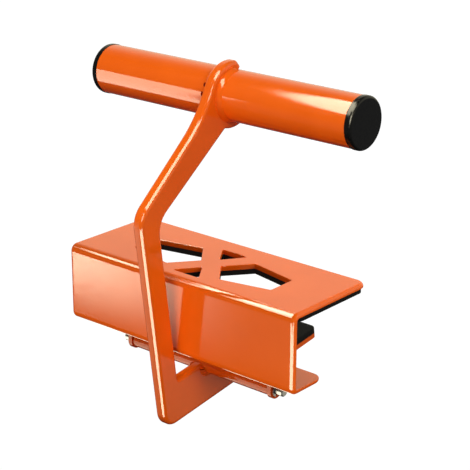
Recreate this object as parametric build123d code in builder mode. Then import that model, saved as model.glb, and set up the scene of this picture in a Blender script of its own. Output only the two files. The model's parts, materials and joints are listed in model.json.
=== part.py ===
from build123d import *
from math import cos, radians, sin
import os

# Slab carrying clamp. A folded steel bracket hooks over the edge of a slab, and a lever with
# a tube handle turns on a hinge pin under the bracket. Lifting the handle swings the jaw at
# the lever's foot up against the underside of the slab.
# Millimetres and degrees. X runs along the handle, Y runs from the slab's edge inward, Z is up.
# The origin is the centre of the upper pad's gripping face.

# Folded bracket
sheet = 3.2
bracket_width = 186
bracket_depth = 73
bracket_height = 52
lip_depth = 30
bend_outer = 5
top_corner = 7
lip_corner = 7
outer_edge_round = 2.6
inner_edge_round = 0.4
front_to_origin = 33.5

# Windows in the top plate, measured from the plate's centre
pentagon_tip = 8.3
pentagon_shoulder_x = 22
pentagon_shoulder_y = 17.3
pentagon_end_x = 56.7
pentagon_end_y = 10.2
triangle_apex = 8.4
triangle_base = 23.8
triangle_half_base = 10.7
window_corner = 0.8
window_edge_round = 0.5

# Rubber pads in the bracket
top_pad_thickness = 3.5
top_pad_inset = 1.5
top_pad_corner = 5
top_pad_gap = 0.3
edge_pad_thickness = 2.5
edge_pad_inset = 2
edge_pad_gap = 0.8
pad_edge_round = 0.6

# Hinge under the lip
pivot_y = -7.8
pivot_z = -59.3
pin_diameter = 6
pin_length = 134
pin_chamfer = 0.6
pin_running_clearance = 0.06
pin_seat_clearance = 0.03
barrel_diameter = 10
barrel_length = 114
ear_thickness = 3
ear_gap = 0.5
ear_tip_radius = 6
ear_root_front = -13.5
ear_root_back = -6.3
ear_weld_leg = 3
ear_weld_inset = 0.8
clip_thickness = 0.8
clip_gap = 0.1
clip_outer_radius = 4.5
clip_mouth = 3.6
groove_radius = 2.5
groove_slack = 0.1
clip_seat_clearance = 0.05

# Lever arm, seen from the end of the handle with its leg upright.
# u runs inward and v runs up from the hinge axis.
rest_lean = 8
arm_thickness = 8
arm_edge_round = 2.5
leg_outer_u = -43.3
leg_inner_u = -27.5
leg_outer_bend_v = 120.5
leg_inner_bend_v = 111.5
leg_outer_bend_radius = 16
leg_inner_bend_radius = 15
upper_outer_end = (31.5, 169.5)
upper_inner_end = (44, 151.1)
eye_u = 48.5
eye_v = 167.2
eye_radius = 21.2
eye_bore_clearance = 0.05
eye_outer_blend = 80
eye_inner_blend = 3
seat_turn = 33
seat_end = 16.4
seat_end_corner = 3
seat_gap = 18
foot_top_v = 2.5
foot_bottom_v = -26.5
foot_corner = 10
toe_bottom_u = 37
toe_top_u = 48
throat_corner = 1.5
saddle_clearance = 0.05

# Stepped jaw plate and its rubber
jaw_width = 110
jaw_riser_u = 16.5
jaw_seat_v = 12
jaw_end_u = 50
jaw_corner = 4
jaw_pad_thickness = 3.5
jaw_barrel_clearance = 0.03

# Handle
tube_diameter = 32
tube_wall = 2
tube_length = 198.4
cap_radius = 16.3
cap_rim = 4.3
cap_edge_round = 1.8
cap_back_round = 0.3
plug_clearance = 0.05
plug_wall = 2
plug_length = 14

# Weld beads
bead_fullness = 0.62
handle_bead = 1.6
handle_bead_length = 4
right_bead_start = 86
right_bead_arc = 270
left_bead_starts = (174, 86, 155)
left_bead_arcs = (182, 64, 13)
barrel_bead = 3
barrel_bead_start = 165
barrel_bead_arc = 172
jaw_bead = 4
jaw_bead_start_u = 23
jaw_bead_end_u = 44
stitch_radius = 2
stitch_length = 16
stitch_centres = (-42, -14, 14, 42)

# Positions that follow from the dimensions above
bend_inner = bend_outer - sheet
plate_under_z = top_pad_thickness
top_z = plate_under_z + sheet
bottom_z = top_z - bracket_height
front_y = -front_to_origin
back_y = front_y + bracket_depth
lip_y = front_y + lip_depth
pin_radius = pin_diameter / 2
barrel_radius = barrel_diameter / 2
ear_inner_x = barrel_length / 2 + ear_gap
ear_outer_x = ear_inner_x + ear_thickness
clip_inner_x = ear_outer_x + clip_gap
tube_radius = tube_diameter / 2
tube_end_x = tube_length / 2
sides = (("left", -1), ("right", 1))

# The lever's own plane, leaning with the lever as it stands on a slab of usual thickness
lever_plane = Plane(
    origin=(0, pivot_y, pivot_z),
    x_dir=(0, cos(radians(rest_lean)), sin(radians(rest_lean))),
    z_dir=(1, 0, 0),
)
pivot_point = lever_plane.origin
eye_point = lever_plane.from_local_coords((eye_u, eye_v, 0))
seat_place = Pos(eye_u, eye_v) * Rot(Z=seat_turn)

os.makedirs("parts", exist_ok=True)


def cross_plane(centre, x):
    """Plane square to X, with Y across and Z up, through a point of an axis along X."""
    return Plane(origin=(x, centre.Y, centre.Z), x_dir=(0, 1, 0), z_dir=(1, 0, 0))


def ring_bead(centre, side, face_x, radius, leg, length, start, arc):
    """Rounded weld bead between a round tube along X and a plate face, over part of a turn.

    The leg lies on the plate and the length along the tube. The start angle is measured from +Y
    towards +Z.
    """
    across = cos(radians(start))
    up = sin(radians(start))
    section_plane = Plane(origin=centre, x_dir=(side, 0, 0), z_dir=(0, -side * up, side * across))
    with BuildPart(mode=Mode.PRIVATE) as bead:
        with BuildSketch(section_plane):
            with BuildLine():
                Polyline((face_x, radius + leg), (face_x, radius), (face_x + length, radius))
                ThreePointArc(
                    (face_x + length, radius),
                    (face_x + length * bead_fullness, radius + leg * bead_fullness),
                    (face_x, radius + leg),
                )
            make_face()
        revolve(axis=Axis(centre, (1, 0, 0)), revolution_arc=arc)
    return bead.part


# Truss-like windows, cut alike through the top plate and the pad under it
with BuildSketch() as truss_windows:
    for name, side in sides:
        with BuildLine():
            Polyline(
                (side * pentagon_tip, 0),
                (side * pentagon_shoulder_x, pentagon_shoulder_y),
                (side * pentagon_end_x, pentagon_end_y),
                (side * pentagon_end_x, -pentagon_end_y),
                (side * pentagon_shoulder_x, -pentagon_shoulder_y),
                close=True,
            )
        make_face()
        with BuildLine():
            Polyline(
                (0, side * triangle_apex),
                (triangle_half_base, side * triangle_base),
                (-triangle_half_base, side * triangle_base),
                close=True,
            )
        make_face()
    fillet(truss_windows.vertices(), window_corner)

# Bracket folded to a C: top plate, front plate and lip
with BuildPart() as bracket:
    with BuildSketch(Plane.YZ.offset(-bracket_width / 2)):
        with BuildLine():
            outside = FilletPolyline(
                (back_y, top_z),
                (front_y, top_z),
                (front_y, bottom_z),
                (lip_y, bottom_z),
                radius=bend_outer,
            )
            inside = FilletPolyline(
                (back_y, plate_under_z),
                (front_y + sheet, plate_under_z),
                (front_y + sheet, bottom_z + sheet),
                (lip_y, bottom_z + sheet),
                radius=bend_inner,
            )
            Line(outside @ 0, inside @ 0)
            Line(outside @ 1, inside @ 1)
        make_face()
    extrude(amount=bracket_width)
    upright_edges = bracket.edges().filter_by(Axis.Z).group_by(Axis.Y)
    fillet(upright_edges[-1], top_corner)
    fillet(upright_edges[-2], lip_corner)
    # One edge of each rim is enough: the rounding runs on along the rim's smooth path
    fillet(bracket.edges().filter_by(Axis.X).group_by(Axis.Y)[-1].sort_by(Axis.Z)[-1], outer_edge_round)
    fillet(bracket.edges().filter_by(Axis.X).group_by(Axis.Y)[-1].sort_by(Axis.Z)[0], inner_edge_round)
    with BuildSketch(Plane.XY.offset(top_z)):
        add(truss_windows.sketch)
    extrude(amount=-sheet, mode=Mode.SUBTRACT)
    top_face = bracket.faces().filter_by(Axis.Z).sort_by(Axis.Z)[-1]
    fillet(top_face.inner_wires().edges(), window_edge_round)
bracket.part.label = "bracket"
export_step(bracket.part, "parts/bracket.step")

# Rubber under the top plate, with the same windows. It stops short of the strip behind the front
# plate, so that a slab's corner fits between the two.
top_pad_front = front_y + sheet + edge_pad_thickness + top_pad_gap
top_pad_back = back_y - top_pad_inset
with BuildPart() as top_pad:
    with BuildSketch():
        with Locations((0, (top_pad_front + top_pad_back) / 2)):
            RectangleRounded(
                bracket_width - 2 * top_pad_inset,
                top_pad_back - top_pad_front,
                top_pad_corner,
            )
        add(truss_windows.sketch, mode=Mode.SUBTRACT)
    extrude(amount=top_pad_thickness)
top_pad.part.label = "top_pad"
export_step(top_pad.part, "parts/top_pad.step")

# Rubber strip behind the front plate
edge_pad_top = -edge_pad_gap
edge_pad_bottom = bottom_z + sheet + bend_inner
with BuildPart() as edge_pad:
    with BuildSketch(Plane.XZ.offset(-front_y - sheet)):
        with Locations((0, (edge_pad_top + edge_pad_bottom) / 2)):
            Rectangle(bracket_width - 2 * edge_pad_inset, edge_pad_top - edge_pad_bottom)
    extrude(amount=-edge_pad_thickness)
    fillet(edge_pad.faces().sort_by(Axis.Y)[-1].edges(), pad_edge_round)
edge_pad.part.label = "edge_pad"
export_step(edge_pad.part, "parts/edge_pad.step")

# Ears hang from the lip and carry the pin, each with a weld on both faces
for name, side in sides:
    with BuildPart() as ear:
        with BuildSketch(Plane.YZ.offset(side * ear_inner_x)):
            with Locations((pivot_y, pivot_z)):
                Circle(ear_tip_radius)
            with BuildLine():
                Line((ear_root_front, bottom_z), (ear_root_back, bottom_z))
            make_hull()
            with Locations((pivot_y, pivot_z)):
                Circle(pin_radius + pin_seat_clearance, mode=Mode.SUBTRACT)
        extrude(amount=side * ear_thickness)
    ear.part.label = f"ear_{name}"
    export_step(ear.part, f"parts/ear_{name}.step")

    weld_front = ear_root_front + ear_weld_inset
    weld_length = ear_root_back - ear_weld_inset - weld_front
    with BuildPart() as ear_weld:
        with BuildSketch(Plane.XZ.offset(-weld_front)):
            for face_x, way in ((ear_inner_x, -1), (ear_outer_x, 1)):
                with BuildLine():
                    Polyline(
                        (side * face_x, bottom_z - ear_weld_leg),
                        (side * face_x, bottom_z),
                        (side * (face_x + way * ear_weld_leg), bottom_z),
                        close=True,
                    )
                make_face()
        extrude(amount=-weld_length)
    ear_weld.part.label = f"ear_weld_{name}"
    export_step(ear_weld.part, f"parts/ear_weld_{name}.step")

# Hinge pin through both ears and the barrel, grooved for a retaining ring at each end
groove_width = clip_thickness + 2 * groove_slack
with BuildPart() as hinge_pin:
    with BuildSketch(cross_plane(pivot_point, -pin_length / 2)):
        Circle(pin_radius)
    extrude(amount=pin_length)
    chamfer(hinge_pin.edges().filter_by(GeomType.CIRCLE), pin_chamfer)
    for name, side in sides:
        with BuildSketch(cross_plane(pivot_point, side * (clip_inner_x - groove_slack))):
            Circle(pin_radius + pin_seat_clearance)
            Circle(groove_radius, mode=Mode.SUBTRACT)
        extrude(amount=side * groove_width, mode=Mode.SUBTRACT)
hinge_pin.part.label = "hinge_pin"
export_step(hinge_pin.part, "parts/hinge_pin.step")

# Open spring rings in the pin's grooves, with their mouths down
for name, side in sides:
    with BuildPart() as pin_clip:
        with BuildSketch(cross_plane(pivot_point, side * clip_inner_x)):
            Circle(clip_outer_radius)
            Circle(groove_radius + clip_seat_clearance, mode=Mode.SUBTRACT)
            with Locations((0, -clip_outer_radius)):
                Rectangle(clip_mouth, 2 * clip_outer_radius, mode=Mode.SUBTRACT)
        extrude(amount=side * clip_thickness)
    pin_clip.part.label = f"pin_clip_{name}"
    export_step(pin_clip.part, f"parts/pin_clip_{name}.step")

# Barrel that turns on the pin and carries the arm and the jaw
with BuildPart() as hinge_barrel:
    with BuildSketch(cross_plane(pivot_point, -barrel_length / 2)):
        Circle(barrel_radius)
        Circle(pin_radius + pin_running_clearance, mode=Mode.SUBTRACT)
    extrude(amount=barrel_length)
hinge_barrel.part.label = "hinge_barrel"
export_step(hinge_barrel.part, "parts/hinge_barrel.step")

# Jaw plate: a web runs inward from the barrel, steps up in a riser and bends into a flange
web_half = sheet / 2
riser_back_u = jaw_riser_u + sheet
jaw_top_v = jaw_seat_v + sheet
with BuildPart() as jaw_plate:
    with BuildSketch(lever_plane.offset(-jaw_width / 2)):
        with BuildLine():
            step_under = FilletPolyline(
                (0, -web_half),
                (riser_back_u, -web_half),
                (riser_back_u, jaw_seat_v),
                (jaw_end_u, jaw_seat_v),
                radius=[bend_outer, bend_inner],
            )
            step_over = FilletPolyline(
                (0, web_half),
                (jaw_riser_u, web_half),
                (jaw_riser_u, jaw_top_v),
                (jaw_end_u, jaw_top_v),
                radius=[bend_inner, bend_outer],
            )
            Line(step_under @ 0, step_over @ 0)
            Line(step_under @ 1, step_over @ 1)
        make_face()
    extrude(amount=jaw_width)
    fillet(
        jaw_plate.edges().filter_by(Axis(pivot_point, lever_plane.y_dir)).group_by(Axis.Y)[-1],
        jaw_corner,
    )
    with BuildSketch(lever_plane.offset(-jaw_width / 2)):
        Circle(barrel_radius + jaw_barrel_clearance)
    extrude(amount=jaw_width, mode=Mode.SUBTRACT)
jaw_plate.part.label = "jaw_plate"
export_step(jaw_plate.part, "parts/jaw_plate.step")

# Rubber on the jaw's flange
jaw_pad_plane = Plane(
    origin=lever_plane.from_local_coords((0, jaw_top_v, 0)),
    x_dir=(1, 0, 0),
    z_dir=lever_plane.y_dir,
)
jaw_pad_start_u = jaw_riser_u + bend_outer
with BuildPart() as jaw_pad:
    with BuildSketch(jaw_pad_plane):
        with Locations((0, (jaw_pad_start_u + jaw_end_u) / 2)):
            RectangleRounded(jaw_width, jaw_end_u - jaw_pad_start_u, jaw_corner)
    extrude(amount=jaw_pad_thickness)
    fillet(jaw_pad.faces().sort_by(Axis(pivot_point, lever_plane.y_dir))[-1].edges(), pad_edge_round)
jaw_pad.part.label = "jaw_pad"
export_step(jaw_pad.part, "parts/jaw_pad.step")

# Arm cut from one plate: foot, leg, bent upper arm and the round seat for the handle, which is cut
# off square behind the tube and open there
with BuildPart() as lever_arm:
    with BuildSketch(lever_plane) as arm_outline:
        with BuildLine():
            FilletPolyline(
                (leg_inner_u, foot_top_v),
                (leg_inner_u, leg_inner_bend_v),
                upper_inner_end,
                upper_outer_end,
                (leg_outer_u, leg_outer_bend_v),
                (leg_outer_u, foot_bottom_v),
                (toe_bottom_u, foot_bottom_v),
                (toe_top_u, jaw_seat_v),
                (riser_back_u, jaw_seat_v),
                (riser_back_u, -web_half),
                (0, -web_half),
                (0, foot_top_v),
                radius=[
                    throat_corner,
                    leg_inner_bend_radius,
                    0,
                    0,
                    leg_outer_bend_radius,
                    foot_corner,
                    foot_corner,
                    throat_corner,
                    bend_inner,
                    bend_outer,
                    0,
                    0,
                ],
                close=True,
            )
        make_face()
        with Locations(seat_place):
            Circle(eye_radius)
        fillet(arm_outline.vertices().sort_by_distance(upper_outer_end)[0], eye_outer_blend)
        fillet(arm_outline.vertices().sort_by_distance(upper_inner_end)[0], eye_inner_blend)
        with Locations(seat_place * Pos(seat_end, 0)):
            Rectangle(eye_radius, 2 * eye_radius, align=(Align.MIN, Align.CENTER), mode=Mode.SUBTRACT)
        end_half = (eye_radius**2 - seat_end**2) ** 0.5
        for half in (-end_half, end_half):
            end_corner = (seat_place * Pos(seat_end, half)).position
            fillet(arm_outline.vertices().sort_by_distance(end_corner)[0], seat_end_corner)
    extrude(amount=arm_thickness / 2, both=True)
    fillet(lever_arm.faces().filter_by(Axis.X).edges(), arm_edge_round)
    with BuildSketch(lever_plane):
        Circle(barrel_radius + saddle_clearance)
        with Locations(seat_place):
            Circle(tube_radius + eye_bore_clearance)
            Rectangle(eye_radius, seat_gap, align=(Align.MIN, Align.CENTER))
    extrude(amount=arm_thickness, both=True, mode=Mode.SUBTRACT)
lever_arm.part.label = "lever_arm"
export_step(lever_arm.part, "parts/lever_arm.step")

# Beads round the lower side of the barrel, where it sits in the arm's saddle
for name, side in sides:
    barrel_weld = ring_bead(
        pivot_point,
        side,
        arm_thickness / 2,
        barrel_radius,
        barrel_bead,
        barrel_bead,
        barrel_bead_start + rest_lean,
        barrel_bead_arc,
    )
    barrel_weld.label = f"barrel_weld_{name}"
    export_step(barrel_weld, f"parts/barrel_weld_{name}.step")

# Beads along the arm's toe, under the jaw's flange
for name, side in sides:
    with BuildPart() as jaw_weld:
        with BuildSketch(Plane(
            origin=lever_plane.from_local_coords((jaw_bead_start_u, jaw_seat_v, side * arm_thickness / 2)),
            x_dir=(side, 0, 0),
            z_dir=lever_plane.x_dir * -side,
        )):
            with BuildLine():
                Polyline((jaw_bead, 0), (0, 0), (0, -jaw_bead), close=True)
            make_face()
        extrude(amount=-side * (jaw_bead_end_u - jaw_bead_start_u))
    jaw_weld.part.label = f"jaw_weld_{name}"
    export_step(jaw_weld.part, f"parts/jaw_weld_{name}.step")

# Stitches along the seam between the jaw's web and the barrel
seam_u = (barrel_radius**2 - web_half**2) ** 0.5
with BuildPart() as jaw_seam_weld:
    for centre in stitch_centres:
        with BuildSketch(lever_plane.offset(centre - stitch_length / 2)):
            with Locations((seam_u, web_half)):
                Circle(stitch_radius)
        extrude(amount=stitch_length)
    add(jaw_plate.part, mode=Mode.SUBTRACT)
    with BuildSketch(lever_plane.offset(-barrel_length / 2)):
        Circle(barrel_radius)
    extrude(amount=barrel_length, mode=Mode.SUBTRACT)
jaw_seam_weld.part.label = "jaw_seam_weld"
export_step(jaw_seam_weld.part, "parts/jaw_seam_weld.step")

# Handle tube through the eye
with BuildPart() as handle_tube:
    with BuildSketch(cross_plane(eye_point, -tube_end_x)):
        Circle(tube_radius)
        Circle(tube_radius - tube_wall, mode=Mode.SUBTRACT)
    extrude(amount=tube_length)
handle_tube.part.label = "handle_tube"
export_step(handle_tube.part, "parts/handle_tube.step")

# The right bead runs round the whole seat. The left one was laid in three runs, with short stops
# between two of them.
handle_weld_right = ring_bead(
    eye_point,
    1,
    arm_thickness / 2,
    tube_radius,
    handle_bead,
    handle_bead_length,
    right_bead_start,
    right_bead_arc,
)
handle_weld_right.label = "handle_weld_right"
export_step(handle_weld_right, "parts/handle_weld_right.step")

with BuildPart() as handle_weld_left:
    for start, arc in zip(left_bead_starts, left_bead_arcs):
        add(ring_bead(
            eye_point,
            -1,
            arm_thickness / 2,
            tube_radius,
            handle_bead,
            handle_bead_length,
            start,
            arc,
        ))
handle_weld_left.part.label = "handle_weld_left"
export_step(handle_weld_left.part, "parts/handle_weld_left.step")

# Plastic caps: a rim against the tube's end and a hollow plug inside it
for name, side in sides:
    with BuildPart() as end_cap:
        with BuildSketch(cross_plane(eye_point, side * tube_end_x)):
            Circle(cap_radius)
        extrude(amount=side * cap_rim)
        rim_edges = end_cap.edges().filter_by(GeomType.CIRCLE).sort_by(Axis.X)
        fillet(rim_edges[-1] if side > 0 else rim_edges[0], cap_edge_round)
        rim_edges = end_cap.edges().filter_by(GeomType.CIRCLE).sort_by(Axis.X)
        fillet(rim_edges[0] if side > 0 else rim_edges[-1], cap_back_round)
        with BuildSketch(cross_plane(eye_point, side * tube_end_x)):
            Circle(tube_radius - tube_wall - plug_clearance)
            Circle(tube_radius - tube_wall - plug_clearance - plug_wall, mode=Mode.SUBTRACT)
        extrude(amount=-side * plug_length)
    end_cap.part.label = f"end_cap_{name}"
    export_step(end_cap.part, f"parts/end_cap_{name}.step")
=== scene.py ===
import json
from math import cos, radians, sin, tau

import bmesh
import bpy
from mathutils import Matrix, Quaternion, Vector


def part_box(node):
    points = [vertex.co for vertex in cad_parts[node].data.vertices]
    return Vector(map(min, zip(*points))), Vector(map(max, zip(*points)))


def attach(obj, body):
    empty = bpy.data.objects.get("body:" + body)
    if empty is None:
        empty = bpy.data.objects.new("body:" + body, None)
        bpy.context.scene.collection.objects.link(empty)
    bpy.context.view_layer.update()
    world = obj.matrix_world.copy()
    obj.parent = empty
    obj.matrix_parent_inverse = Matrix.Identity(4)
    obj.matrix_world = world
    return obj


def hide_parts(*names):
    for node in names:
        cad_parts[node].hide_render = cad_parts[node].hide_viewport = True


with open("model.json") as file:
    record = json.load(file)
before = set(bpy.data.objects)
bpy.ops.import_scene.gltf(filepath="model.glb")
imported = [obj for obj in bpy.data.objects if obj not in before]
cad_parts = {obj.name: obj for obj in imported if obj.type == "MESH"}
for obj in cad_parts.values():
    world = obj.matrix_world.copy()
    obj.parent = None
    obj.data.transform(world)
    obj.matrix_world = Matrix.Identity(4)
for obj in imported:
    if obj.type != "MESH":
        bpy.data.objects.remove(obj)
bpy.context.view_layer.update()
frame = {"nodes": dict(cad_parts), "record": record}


# Bracket. One sheet of 3.2 mm steel with windows cut in its top plate, folded to a C and powder
# coated a glossy orange. It hooks over the load's edge and carries the hinge under its lip.
def new_material(name):
    """A node material, with its tree, its shader and its texture coordinates."""
    material = bpy.data.materials.new(name)
    material.use_nodes = True
    tree = material.node_tree
    return material, tree, tree.nodes["Principled BSDF"], tree.nodes.new("ShaderNodeTexCoord")


def noise_over(tree, coordinates, scale, detail):
    """Noise on Object coordinates, with the scale in features per metre."""
    noise = tree.nodes.new("ShaderNodeTexNoise")
    noise.inputs["Scale"].default_value = scale
    noise.inputs["Detail"].default_value = detail
    tree.links.new(coordinates.outputs["Object"], noise.inputs["Vector"])
    return noise.outputs["Fac"]


def map_span(tree, value, low, high, at_low, at_high):
    """A number that runs from at_low to at_high as a value goes from low to high, and stops there."""
    span = tree.nodes.new("ShaderNodeMapRange")
    span.inputs["From Min"].default_value = low
    span.inputs["From Max"].default_value = high
    span.inputs["To Min"].default_value = at_low
    span.inputs["To Max"].default_value = at_high
    tree.links.new(value, span.inputs["Value"])
    return span.outputs["Result"]


noise_low = 0.3
noise_high = 0.7


def spread(tree, noise, low, high):
    """A number that runs from low to high over a noise's usual span."""
    return map_span(tree, noise, noise_low, noise_high, low, high)


def blend_colours(tree, noise, low, high):
    """A colour that runs from low to high over a noise's usual span."""
    mix = tree.nodes.new("ShaderNodeMix")
    mix.data_type = "RGBA"
    mix.inputs["A"].default_value = (*low, 1)
    mix.inputs["B"].default_value = (*high, 1)
    tree.links.new(spread(tree, noise, 0, 1), mix.inputs["Factor"])
    return mix.outputs["Result"]


def bump(tree, height, depth):
    """A bump of a depth in metres."""
    node = tree.nodes.new("ShaderNodeBump")
    node.inputs["Distance"].default_value = depth
    tree.links.new(height, node.inputs["Height"])
    return node.outputs["Normal"]


def dress(tree, shader, colour, roughness, normal):
    """Joins a finish's colour, roughness and bump to its shader."""
    tree.links.new(colour, shader.inputs["Base Color"])
    tree.links.new(roughness, shader.inputs["Roughness"])
    tree.links.new(normal, shader.inputs["Normal"])


def powder_coat():
    """Glossy orange powder coat: slightly uneven in depth of colour, with a faint orange peel."""
    material, tree, shader, coordinates = new_material("orange_powder_coat")
    thin_orange = (0.78, 0.108, 0.003)
    full_orange = (0.84, 0.124, 0.005)
    cloud = noise_over(tree, coordinates, scale=26, detail=3)
    haze = noise_over(tree, coordinates, scale=160, detail=3)
    peel = noise_over(tree, coordinates, scale=420, detail=1)
    dress(
        tree, shader, blend_colours(tree, cloud, thin_orange, full_orange),
        spread(tree, haze, low=0.07, high=0.11), bump(tree, peel, depth=0.000008),
    )
    return material


def finish_nodes(names, material):
    """Gives CAD nodes their material."""
    for name in names:
        slots = frame["nodes"][name].data.materials
        slots.clear()
        slots.append(material)


orange_coat = powder_coat()
finish_nodes(["bracket"], orange_coat)


# Bracket pads. Two sheets of black rubber glued inside the bracket: one under the top plate,
# cut square with the same windows, and one behind the front plate, with slightly rounded edges.
def rubber():
    """Matt black rubber with a fine grain and paler dust in it."""
    material, tree, shader, coordinates = new_material("black_rubber")
    shader.inputs["Specular IOR Level"].default_value = 0.2
    clean_black = (0.004, 0.004, 0.004)
    dusty_black = (0.011, 0.011, 0.010)
    grain = noise_over(tree, coordinates, scale=1400, detail=2)
    dress(
        tree, shader, blend_colours(tree, grain, clean_black, dusty_black),
        spread(tree, grain, low=0.62, high=0.82), bump(tree, grain, depth=0.00006),
    )
    return material


sharp_from = radians(40)


def place_piece(name, shape, material, body, slot, *nodes):
    """Makes a finished bmesh an object that rides with a body and stands for any CAD nodes named."""
    mesh = bpy.data.meshes.new(name)
    bmesh.ops.recalc_face_normals(shape, faces=shape.faces)
    shape.to_mesh(mesh)
    shape.free()
    mesh.shade_smooth()
    mesh.set_sharp_from_angle(angle=sharp_from)
    mesh.materials.append(material)
    piece = bpy.data.objects.new(name, mesh)
    bpy.context.collection.objects.link(piece)
    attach(piece, body)
    if nodes:
        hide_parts(*nodes)


merge_within = 0.00001
flat_within = radians(2)


def rubber_sheet(name, body, node):
    """A pad cut from sheet: the CAD pad with its loose triangles merged to whole faces."""
    shape = bmesh.new()
    shape.from_mesh(frame["nodes"][node].data)
    bmesh.ops.remove_doubles(shape, verts=shape.verts, dist=merge_within)
    bmesh.ops.dissolve_limit(shape, angle_limit=flat_within, verts=shape.verts, edges=shape.edges)
    place_piece(name, shape, black_rubber, body, "black_rubber", node)


black_rubber = rubber()
rubber_sheet("top_rubber", "bracket", "top_pad")
rubber_sheet("edge_rubber", "bracket", "edge_pad")

# Hinge ears. Two short tabs of 3 mm steel under the lip with a bored hole for the pin.
# Each is welded to the lip by a fillet bead along both of its faces, then painted over.
finish_nodes(["ear_left", "ear_right"], orange_coat)
ripple_pitch = 0.0016
steps_in_ripple = 5
bead_step = ripple_pitch / steps_in_ripple
end_fullness = 0.5


def fullness(travel, length, ripple):
    """How full a bead is along its run: it swells with each drop of weld metal and tapers at its ends."""
    swell = 1 - ripple * (0.5 + 0.5 * cos(tau * travel / ripple_pitch))
    from_end = min(travel, length - travel)
    return swell * min(1, end_fullness + (1 - end_fullness) * from_end / ripple_pitch)


bead_centre = 1.2
bead_radius = (bead_centre**2 + (1 + bead_centre) ** 2) ** 0.5


def lay_bead(shape, leg, stations, bite=0.0003):
    """Sweeps a low round with the given leg through a run of stations, biting into both plates.

    The round's centre and radius are in legs, so that it meets each plate one leg from the corner.
    """
    section = bmesh.ops.create_circle(
        shape, cap_ends=True, segments=96, radius=leg * bead_radius,
        matrix=Matrix.Translation((-leg * bead_centre, -leg * bead_centre, 0)),
    )["verts"]
    kept = [*section, *section[0].link_faces, *section[0].link_faces[0].edges]
    for away in (Vector((1, 0, 0)), Vector((0, 1, 0))):
        kept = bmesh.ops.bisect_plane(
            shape, geom=kept, plane_co=-bite * away, plane_no=away, clear_inner=True,
        )["geom"]
    tip = next(part for part in kept if isinstance(part, bmesh.types.BMFace))
    place = Matrix.Identity(4)
    for number, station in enumerate(stations):
        if number:
            grown = bmesh.ops.extrude_face_region(shape, geom=[tip])["geom"]
            tip = next(part for part in grown if isinstance(part, bmesh.types.BMFace))
        bmesh.ops.transform(shape, matrix=station @ place.inverted(), verts=tip.verts)
        place = station


def straight_run(start, first_away, second_away, along, ripple):
    """Stations of a bead along a straight corner, from start over the vector along."""
    run = Matrix((first_away, second_away, along.normalized())).transposed().to_4x4()
    steps = round(along.length / bead_step)
    for step in range(steps + 1):
        travel = along.length * step / steps
        yield (
            Matrix.Translation(start) @ run @ Matrix.Translation((0, 0, travel))
            @ Matrix.Scale(fullness(travel, along.length, ripple), 4)
        )


ear_leg = 0.003
ear_ripple = 0.16
ear_run = Vector((0, 0.0056, 0))
ear_run_front = -0.0127
lip_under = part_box("bracket")[0][2]
for side in ("left", "right"):
    ear_low, ear_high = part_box(f"ear_{side}")
    ear_beads = bmesh.new()
    for face, away in ((ear_low[0], -1), (ear_high[0], 1)):
        corner = Vector((face, ear_run_front, lip_under))
        lay_bead(ear_beads, ear_leg, straight_run(corner, (away, 0, 0), (0, 0, -1), ear_run, ear_ripple))
    place_piece(f"ear_beads_{side}", ear_beads, orange_coat, "bracket", "orange_paint", f"ear_weld_{side}")


# Hinge pin and clips. A 6 mm drawn steel pin through both ears, left bare, with turned ends
# and a spring steel clip in a groove at each end.
def bright_steel():
    """Drawn steel, with fine scratches along the pin and a dull bloom."""
    material, tree, shader, coordinates = new_material("bright_steel")
    shader.inputs["Metallic"].default_value = 1
    scratch_scale = (60, 4000, 4000)
    dull_steel = (0.56, 0.56, 0.57)
    clean_steel = (0.70, 0.70, 0.70)
    stretched = tree.nodes.new("ShaderNodeMapping")
    stretched.inputs["Scale"].default_value = scratch_scale
    tree.links.new(coordinates.outputs["Object"], stretched.inputs["Vector"])
    scratches = tree.nodes.new("ShaderNodeTexNoise")
    scratches.inputs["Scale"].default_value = 1
    tree.links.new(stretched.outputs["Vector"], scratches.inputs["Vector"])
    bloom = noise_over(tree, coordinates, scale=500, detail=3)
    dress(
        tree, shader, blend_colours(tree, bloom, dull_steel, clean_steel),
        spread(tree, scratches.outputs["Fac"], low=0.2, high=0.34),
        bump(tree, scratches.outputs["Fac"], depth=0.000004),
    )
    return material


finish_nodes(["hinge_pin", "pin_clip_left", "pin_clip_right"], bright_steel())

# Hinge barrel. A length of thick tube that turns on the pin. It lies in a saddle cut in the
# lever arm, and a bead on each side of the arm runs round it where the plate holds it.
finish_nodes(["hinge_barrel"], orange_coat)


def round_run(centre, side, face, radius, start, arc, ripple, stretch=1):
    """Stations of a bead round a tube along X, on one side of a plate, over angles from +Y to +Z.

    The stretch draws the bead out along the tube.
    """
    length = radius * radians(arc)
    steps = round(length / bead_step)
    corner = Matrix.Translation((side * face, radius, 0))
    outward = Matrix.Diagonal((side * stretch, 1, 1, 1))
    for step in range(steps + 1):
        angle = radians(start + arc * step / steps)
        swell = fullness(length * step / steps, length, ripple)
        yield (
            Matrix.Translation(centre) @ Matrix.Rotation(angle, 4, "X") @ corner @ outward
            @ Matrix.Scale(swell, 4)
        )


barrel_low, barrel_high = (Vector(corner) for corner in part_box("hinge_barrel"))
barrel_centre = (barrel_low + barrel_high) / 2
barrel_radius = (barrel_high.z - barrel_low.z) / 2
arm_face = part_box("lever_arm")[1][0]
barrel_leg = 0.003
barrel_ripple = 0.16
barrel_start = 173
barrel_arc = 172
for side_name, side in (("left", -1), ("right", 1)):
    barrel_bead = bmesh.new()
    lay_bead(
        barrel_bead, barrel_leg,
        round_run(barrel_centre, side, arm_face, barrel_radius, barrel_start, barrel_arc, barrel_ripple),
    )
    place_piece(
        f"barrel_bead_{side_name}", barrel_bead, orange_coat, "lever", "orange_paint",
        f"barrel_weld_{side_name}",
    )

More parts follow.
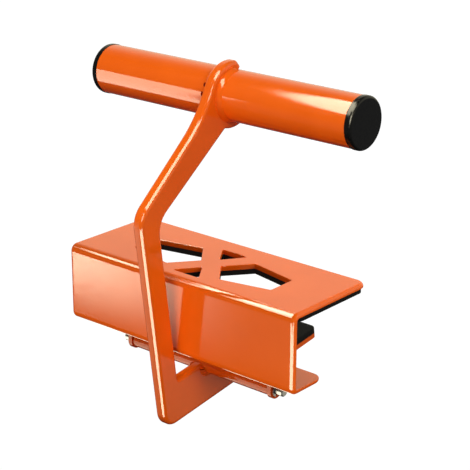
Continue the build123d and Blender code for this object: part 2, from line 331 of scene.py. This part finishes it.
# Jaw plate. A stepped plate folded from 3.2 mm steel that runs from the barrel to under the load.
# Four stitches join it to the barrel, and a fillet along each side of the arm's toe holds it up.
finish_nodes(["jaw_plate"], orange_coat)
jaw_mount = next(mount for mount in frame["record"]["mounts"] if mount["name"] == "jaw_face")
lever_up = Vector(jaw_mount["axis"])
lever_inward = Vector((0, lever_up.z, -lever_up.y))
across = Vector((1, 0, 0))
stitch_leg = 0.002
stitch_ripple = 0.16
stitch_length = 0.016
stitch_bite = 0.0014
stitch_centres = (-0.042, -0.014, 0.014, 0.042)
web_half = 0.0016
seam_inward = (barrel_radius**2 - web_half**2) ** 0.5
seam_line = barrel_centre + lever_inward * seam_inward + lever_up * web_half
seam = bmesh.new()
for centre in stitch_centres:
    start = seam_line + across * (centre - stitch_length / 2)
    stations = straight_run(start, lever_inward, lever_up, across * stitch_length, stitch_ripple)
    lay_bead(seam, stitch_leg, stations, stitch_bite)
place_piece("jaw_stitches", seam, orange_coat, "lever", "orange_paint", "jaw_seam_weld")

toe_leg = 0.004
toe_ripple = 0.14
toe_start = 0.023
toe_length = 0.021
seat_height = 0.012
for side_name, side in (("left", -1), ("right", 1)):
    toe_bead = bmesh.new()
    corner = barrel_centre + lever_inward * toe_start + lever_up * seat_height + across * side * arm_face
    stations = straight_run(corner, across * side, -lever_up, lever_inward * toe_length, toe_ripple)
    lay_bead(toe_bead, toe_leg, stations)
    place_piece(
        f"toe_bead_{side_name}", toe_bead, orange_coat, "lever", "orange_paint", f"jaw_weld_{side_name}",
    )

# Jaw pad. A strip of the same black rubber, cut from sheet as the bracket's pads are.
# It is glued on the jaw plate where that meets the load.
rubber_sheet("jaw_rubber", "lever", "jaw_pad")

# Lever arm. One profile cut from 8 mm steel plate, with its edges eased and painted orange.
# Its foot carries the hinge and the jaw, and its open round seat holds the handle.
finish_nodes(["lever_arm"], orange_coat)

# Handle. A stock 32 mm steel tube laid in the arm's seat and welded on both sides.
# The right weld is one even run. The left one is lumpy, with two stops and two drops coloured dark red as
# painted shade for the pits there.
finish_nodes(["handle_tube"], orange_coat)
tube_low, tube_high = (Vector(corner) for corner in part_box("handle_tube"))
tube_centre = (tube_low + tube_high) / 2
tube_radius = (tube_high.z - tube_low.z) / 2
handle_leg = 0.0016
handle_stretch = 2.5


def lay_collar(shape, side, start, arc, ripple):
    """Lays one run of a handle weld, drawn out along the tube."""
    stations = round_run(tube_centre, side, arm_face, tube_radius, start, arc, ripple, handle_stretch)
    lay_bead(shape, handle_leg, stations)


seat_end_angle = 86
right_arc = 270
right_collar = bmesh.new()
lay_collar(right_collar, 1, seat_end_angle, right_arc, ripple=0)
place_piece("right_collar", right_collar, orange_coat, "lever", "orange_paint", "handle_weld_right")

left_runs = ((175, 181), (seat_end_angle, 64), (156, 11))
left_ripple = 0.22
left_collar = bmesh.new()
for start, arc in left_runs:
    lay_collar(left_collar, -1, start, arc, left_ripple)
place_piece("left_collar", left_collar, orange_coat, "lever", "orange_paint", "handle_weld_left")


def painted_pit_shade():
    """Painted shade: a dark red for the shaded pits at the left weld's stops, set on two drops of weld metal.
    """
    material, tree, shader, coordinates = new_material("painted_pit_shade")
    shader.inputs["Specular IOR Level"].default_value = 0.1
    deep_pit_shade = (0.20, 0.008, 0.001)
    pale_pit_shade = (0.34, 0.022, 0.001)
    speckle = noise_over(tree, coordinates, scale=1800, detail=3)
    dress(
        tree, shader, blend_colours(tree, speckle, deep_pit_shade, pale_pit_shade),
        spread(tree, speckle, low=0.6, high=0.8), bump(tree, speckle, depth=0.0001),
    )
    return material


# Two drops by the left weld's stops, coloured with the dark red of painted pit shade.
drop_size = (0.0007, 0.0008, 0.0014)
drop_places = ((-0.0067, 153, 0.0008), (-0.0078, 173, 0.0006))
drops = bmesh.new()
for along_tube, angle, height in drop_places:
    bmesh.ops.create_icosphere(drops, subdivisions=3, radius=1, matrix=(
        Matrix.Translation(tube_centre) @ Matrix.Rotation(radians(angle), 4, "X")
        @ Matrix.Translation((along_tube, tube_radius + height, 0)) @ Matrix.Diagonal((*drop_size, 1))
    ))
place_piece("left_pit_shade_drops", drops, painted_pit_shade(), "lever", "orange_paint")


# End caps. Moulded black plastic, pressed into the tube's ends by a hollow plug. The visible
# rim is glossy, with the faint grain of its mould.
def black_plastic():
    """Glossy black moulded plastic."""
    material, tree, shader, coordinates = new_material("black_plastic")
    shader.inputs["Specular IOR Level"].default_value = 0.25
    deep_black = (0.004, 0.004, 0.004)
    grain_black = (0.006, 0.006, 0.0055)
    grain = noise_over(tree, coordinates, scale=600, detail=2)
    dress(
        tree, shader, blend_colours(tree, grain, deep_black, grain_black),
        spread(tree, grain, low=0.16, high=0.24), bump(tree, grain, depth=0.00001),
    )
    return material


finish_nodes(["end_cap_left", "end_cap_right"], black_plastic())

# Floor. A plain pale sheet well below the clamp. The camera sees it white with the clamp's soft
# shadow. Mirrored in the paint it is dark close by and paler far off, and it throws a warm light up.
floor_height = -0.45
floor_half = 6
floor_shape = bmesh.new()
bmesh.ops.create_grid(
    floor_shape, x_segments=1, y_segments=1, size=floor_half, matrix=Matrix.Translation((0, 0, floor_height)),
)
floor_mesh = bpy.data.meshes.new("floor")
floor_shape.to_mesh(floor_mesh)
floor_shape.free()
floor = bpy.data.objects.new("floor", floor_mesh)
bpy.context.collection.objects.link(floor)


def feed(tree, socket, source):
    """Sets a socket to a number, or joins it to another node's output."""
    if isinstance(source, bpy.types.NodeSocket):
        tree.links.new(source, socket)
    else:
        socket.default_value = source


def by_ray(tree, to_camera, to_mirrors, to_matt):
    """One level for what the camera sees, one for what gloss and glass show, and one for matt light."""
    path = tree.nodes.new("ShaderNodeLightPath")
    mirrored = tree.nodes.new("ShaderNodeMath")
    mirrored.operation = "MAXIMUM"
    tree.links.new(path.outputs["Is Glossy Ray"], mirrored.inputs[0])
    tree.links.new(path.outputs["Is Transmission Ray"], mirrored.inputs[1])
    level = to_matt
    for ray, seen in ((mirrored.outputs["Value"], to_mirrors), (path.outputs["Is Camera Ray"], to_camera)):
        choice = tree.nodes.new("ShaderNodeMix")
        tree.links.new(ray, choice.inputs["Factor"])
        feed(tree, choice.inputs["A"], level)
        feed(tree, choice.inputs["B"], seen)
        level = choice.outputs["Result"]
    return level


def tint_ray(tree, ray, colour, socket):
    """Gives a colour socket one kind of ray in a colour, and every other ray in white."""
    tint = tree.nodes.new("ShaderNodeMix")
    tint.data_type = "RGBA"
    tint.inputs["A"].default_value = (1, 1, 1, 1)
    tint.inputs["B"].default_value = colour
    tree.links.new(tree.nodes.new("ShaderNodeLightPath").outputs[ray], tint.inputs["Factor"])
    tree.links.new(tint.outputs["Result"], socket)


floor_grey = 0.22
floor_bounce = 0.15
warm_bounce = (1, 0.22, 0.06, 1)
near_reach = 1.8
dark_within = 0.65
pale_beyond = 1.1
white_near = 0.76
white_far = 0.95
mirrored_near = 0.03
mirrored_far = 0.15
floor_material, floor_tree, floor_shader, floor_place = new_material("pale_floor")
reach = floor_tree.nodes.new("ShaderNodeMapping")
reach.inputs["Scale"].default_value = (1 / near_reach, 1 / near_reach, 0)
floor_tree.links.new(floor_place.outputs["Object"], reach.inputs["Vector"])
nearness = floor_tree.nodes.new("ShaderNodeTexGradient")
nearness.gradient_type = "SPHERICAL"
floor_tree.links.new(reach.outputs["Vector"], nearness.inputs["Vector"])
near = nearness.outputs["Fac"]
white_floor = map_span(floor_tree, near, 0, 1, white_far, white_near)
mirrored_floor = map_span(
    floor_tree, near, 1 - pale_beyond / near_reach, 1 - dark_within / near_reach, mirrored_far, mirrored_near,
)
floor_tree.links.new(by_ray(floor_tree, floor_grey, 0, 0), floor_shader.inputs["Base Color"])
floor_tree.links.new(
    by_ray(floor_tree, white_floor, mirrored_floor, floor_bounce), floor_shader.inputs["Emission Strength"],
)
tint_ray(floor_tree, "Is Diffuse Ray", warm_bounce, floor_shader.inputs["Emission Color"])
floor_shader.inputs["Roughness"].default_value = 1
floor_shader.inputs["Specular IOR Level"].default_value = 0
floor_mesh.materials.append(floor_material)

# Studio light. Large soft boxes light the clamp evenly. The bracket has its own, low in front, behind
# and at the side, so that its window walls stay dark. Glowing cards stand where a glossy surface
# shows them as highlights, each seen only in the pieces that it is set for.
clamp_middle = Vector((0, 0, 0.02))


def chosen_pieces(name, pieces):
    """A collection of pieces that a light or a card is linked to."""
    chosen = bpy.data.collections.new(name)
    for piece in pieces:
        chosen.objects.link(bpy.data.objects[piece])
    return chosen


def soft_box(name, place, width, power, only=(), all_but=()):
    """A square soft box turned to the clamp. It lights surfaces, but is not mirrored in them."""
    lamp = bpy.data.lights.new(name, "AREA")
    lamp.size = width
    lamp.energy = power
    holder = bpy.data.objects.new(name, lamp)
    bpy.context.collection.objects.link(holder)
    holder.location = place
    holder.rotation_euler = (clamp_middle - Vector(place)).to_track_quat("-Z", "Y").to_euler()
    holder.visible_camera = False
    holder.visible_glossy = False
    if only or all_but:
        chosen = chosen_pieces(name, [*only, *all_but])
        for entry in chosen.collection_objects:
            entry.light_linking.link_state = "INCLUDE" if only else "EXCLUDE"
        holder.light_linking.receiver_collection = chosen


def product(tree, first, second):
    """The product of two numbers."""
    node = tree.nodes.new("ShaderNodeMath")
    node.operation = "MULTIPLY"
    tree.links.new(first, node.inputs[0])
    tree.links.new(second, node.inputs[1])
    return node.outputs["Value"]


card_colour = (1, 0.92, 0.68, 1)


def glow_card(name, shown_in, glow, centre, half_length, length_fade, half_width, width_fade):
    """A card mirrored once in the named pieces alone. Its glow fades over a share of each half."""
    shape = bmesh.new()
    bmesh.ops.create_grid(shape, x_segments=1, y_segments=1, size=1)
    mesh = bpy.data.meshes.new(name)
    shape.to_mesh(mesh)
    shape.free()
    card = bpy.data.objects.new(name, mesh)
    bpy.context.collection.objects.link(card)
    facing = Vector(half_length).cross(Vector(half_width)).normalized()
    card.matrix_world = (
        Matrix.Translation(centre) @ Matrix((half_length, half_width, facing)).transposed().to_4x4()
    )
    card.visible_camera = False
    card.visible_diffuse = False
    card.visible_shadow = False
    material, tree, shader, coordinates = new_material(name)
    tree.nodes.remove(shader)
    from_middle = tree.nodes.new("ShaderNodeVectorMath")
    from_middle.operation = "ABSOLUTE"
    tree.links.new(coordinates.outputs["Object"], from_middle.inputs[0])
    halves = tree.nodes.new("ShaderNodeSeparateXYZ")
    tree.links.new(from_middle.outputs["Vector"], halves.inputs["Vector"])
    lengthwise = map_span(tree, halves.outputs["X"], 1 - length_fade, 1, glow, 0)
    crosswise = map_span(tree, halves.outputs["Y"], 1 - width_fade, 1, 1, 0)
    for faded in (lengthwise, crosswise):
        faded.node.interpolation_type = "SMOOTHSTEP"
    once = map_span(tree, tree.nodes.new("ShaderNodeLightPath").outputs["Glossy Depth"], 1, 2, 1, 0)
    emission = tree.nodes.new("ShaderNodeEmission")
    emission.inputs["Color"].default_value = card_colour
    tree.links.new(product(tree, product(tree, lengthwise, crosswise), once), emission.inputs["Strength"])
    clear = tree.nodes.new("ShaderNodeBsdfTransparent")
    surface = tree.nodes.new("ShaderNodeAddShader")
    tree.links.new(emission.outputs["Emission"], surface.inputs[0])
    tree.links.new(clear.outputs["BSDF"], surface.inputs[1])
    tree.links.new(surface.outputs["Shader"], tree.nodes["Material Output"].inputs["Surface"])
    mesh.materials.append(material)
    card.light_linking.receiver_collection = chosen_pieces(name, shown_in)


soft_box("front_box", place=(-0.44, -0.93, 0.68), width=0.5, power=7.4, all_but=["bracket"])
soft_box("plate_box", place=(0.30, -0.98, -0.16), width=0.5, power=6.0, only=["bracket"])
soft_box("top_box", place=(-0.15, 0.75, 0.85), width=0.5, power=4.6, only=["bracket"])
soft_box("side_box", place=(0.80, 0.35, 0.50), width=0.5, power=5.0, only=["bracket"])
soft_box("right_box", place=(0.99, -0.49, 0.59), width=0.5, power=7.6, all_but=["bracket"])
soft_box("back_box", place=(-0.60, 0.94, 0.73), width=0.6, power=5.0)
glow_card(
    "tube_card", ["handle_tube", "end_cap_right"], glow=17, centre=(-0.28, -0.215, 0.673),
    half_length=(0, -0.356, -0.152), length_fade=0.15, half_width=(0.13, 0, 0), width_fade=0.35,
)
glow_card(
    "left_card", ["handle_tube"], glow=6.8, centre=(-0.65, -0.46, -0.12),
    half_length=(0, 0.133, -0.266), length_fade=0.05, half_width=(0.21, 0, 0), width_fade=0.08,
)
glow_card(
    "plate_card", ["bracket"], glow=12.8, centre=(-0.53, -0.42, -0.20),
    half_length=(0.28, 0, 0), length_fade=1, half_width=(0, 0, -0.086), width_fade=1,
)
glow_card(
    "front_card", ["lever_arm"], glow=2.6, centre=(-0.40, -0.32, -0.18),
    half_length=(0.148, -0.097, -0.068), length_fade=1, half_width=(0.07, 0.119, -0.322), width_fade=1,
)
glow_card(
    "bend_card", ["bracket"], glow=18, centre=(-0.243, 0.06, 0.46),
    half_length=(0.103, 0, 0), length_fade=0.1, half_width=(0, 0.30, 0), width_fade=0.33,
)
glow_card(
    "bend_low_card", ["bracket"], glow=18, centre=(-0.328, -0.337, 0.455),
    half_length=(0.082, -0.037, 0), length_fade=0.1, half_width=(0.111, 0.246, 0), width_fade=0.3,
)
glow_card(
    "bend_left_card", ["bracket"], glow=18, centre=(-0.556, -0.384, 0.46),
    half_length=(0.046, -0.022, 0), length_fade=0.2, half_width=(0.115, 0.24, 0), width_fade=0.42,
)
glow_card(
    "edge_card", ["bracket"], glow=18, centre=(0.19, -0.45, -0.29),
    half_length=(0.39, 0.08, 0), length_fade=0.2, half_width=(0, 0, 0.105), width_fade=0.08,
)
glow_card(
    "low_card", ["lever_arm"], glow=18, centre=(0.19, -0.45, -0.29),
    half_length=(0.39, 0.08, 0), length_fade=0.2, half_width=(0, -0.07, 0.15), width_fade=0.2,
)
glow_card(
    "overhead_card", ["lever_arm", "end_cap_right"], glow=16, centre=(0.20, -0.22, 0.68),
    half_length=(0.50, 0.08, -0.05), length_fade=0.25, half_width=(0, 0.20, 0.06), width_fade=0.3,
)
glow_card(
    "rim_card", ["lever_arm"], glow=11, centre=(0.40, -0.62, 0.35),
    half_length=(0, 0.09, 0.23), length_fade=0.4, half_width=(0.22, 0.05, 0), width_fade=0.4,
)
glow_card(
    "cap_card", ["end_cap_right"], glow=24, centre=(0.58, -0.40, 0.30),
    half_length=(0.14, 0.205, 0), length_fade=0.4, half_width=(-0.042, 0.029, 0.193), width_fade=0.4,
)
glow_card(
    "collar_card", ["right_collar"], glow=14, centre=(0.03, -0.45, 0.77),
    half_length=(0.21, -0.185, -0.15), length_fade=0.5, half_width=(0.12, 0.078, 0.072), width_fade=0.5,
)
glow_card(
    "fill_card", ["bracket"], glow=0.35, centre=(-0.40, -0.61, -0.29),
    half_length=(0.17, 0, 0), length_fade=0.6, half_width=(0, 0, 0.11), width_fade=0.4,
)
glow_card(
    "lip_card", ["bracket"], glow=2.6, centre=(-0.25, 0.22, -0.33),
    half_length=(0.20, 0, 0), length_fade=0.3, half_width=(0, 0.13, 0.10), width_fade=0.3,
)
hinge_pieces = ["hinge_barrel", "hinge_pin", "pin_clip_left", "pin_clip_right", "ear_left", "ear_right"]
glow_card(
    "barrel_card", hinge_pieces, glow=2.2, centre=(-0.22, -0.24, -0.28),
    half_length=(0.25, 0, 0), length_fade=0.3, half_width=(0, 0.26, -0.20), width_fade=0.2,
)
glow_card(
    "foot_card", ["lever_arm", "hinge_pin", "pin_clip_right"], glow=0.45, centre=(0.31, 0.32, -0.24),
    half_length=(0.10, -0.084, 0), length_fade=0.4, half_width=(0, 0, 0.12), width_fade=0.4,
)

# Room. A pale room gives the clamp an even light from all round, and the camera sees it white.
# Mirrored in the paint it is a warm white, and dark overhead and in front, where the highlights are.
scene = bpy.context.scene
world = bpy.data.worlds.new("studio")
world.use_nodes = True
scene.world = world
room = world.node_tree
room_white = 1
room_light = 0.45
room_dark = 0.1
warm_room = (1, 0.95, 0.72, 1)
ceiling_dims_from = 0.55
ceiling_dark_from = 0.80
front_dark_to = -0.2
front_dims_to = 0.3
direction = room.nodes.new("ShaderNodeTexCoord")
heading = room.nodes.new("ShaderNodeSeparateXYZ")
room.links.new(direction.outputs["Generated"], heading.inputs["Vector"])
dark_ceiling = map_span(
    room, heading.outputs["Z"], ceiling_dims_from, ceiling_dark_from, room_white, room_dark,
)
dark_front = map_span(room, heading.outputs["Y"], front_dark_to, front_dims_to, room_dark, room_white)
mirrored_room = product(room, dark_ceiling, dark_front)
background = room.nodes["Background"]
tint_ray(room, "Is Glossy Ray", warm_room, background.inputs["Color"])
room.links.new(by_ray(room, room_white, mirrored_room, room_light), background.inputs["Strength"])

# Camera. It stands where the photograph was taken from, to the right of the handle and above it,
# at a distance and with a lens that give the photograph's perspective.
photo_width = 470
focal_length_in_pixels = 1513.023
camera_place = (0.5860, -0.6718, 0.3451)
camera_azimuth = radians(40.129)
camera_elevation = radians(19.72)
camera_roll = radians(0.311)
camera = bpy.data.objects.new("camera", bpy.data.cameras.new("camera"))
bpy.context.collection.objects.link(camera)
camera.data.lens = camera.data.sensor_width * focal_length_in_pixels / photo_width
camera.location = camera_place
back = Vector((
    sin(camera_azimuth) * cos(camera_elevation),
    -cos(camera_azimuth) * cos(camera_elevation),
    sin(camera_elevation),
))
camera.rotation_mode = "QUATERNION"
camera.rotation_quaternion = (-back).to_track_quat("-Z", "Y") @ Quaternion((0, 0, 1), camera_roll)
scene.camera = camera
scene.view_settings.view_transform = "Standard"
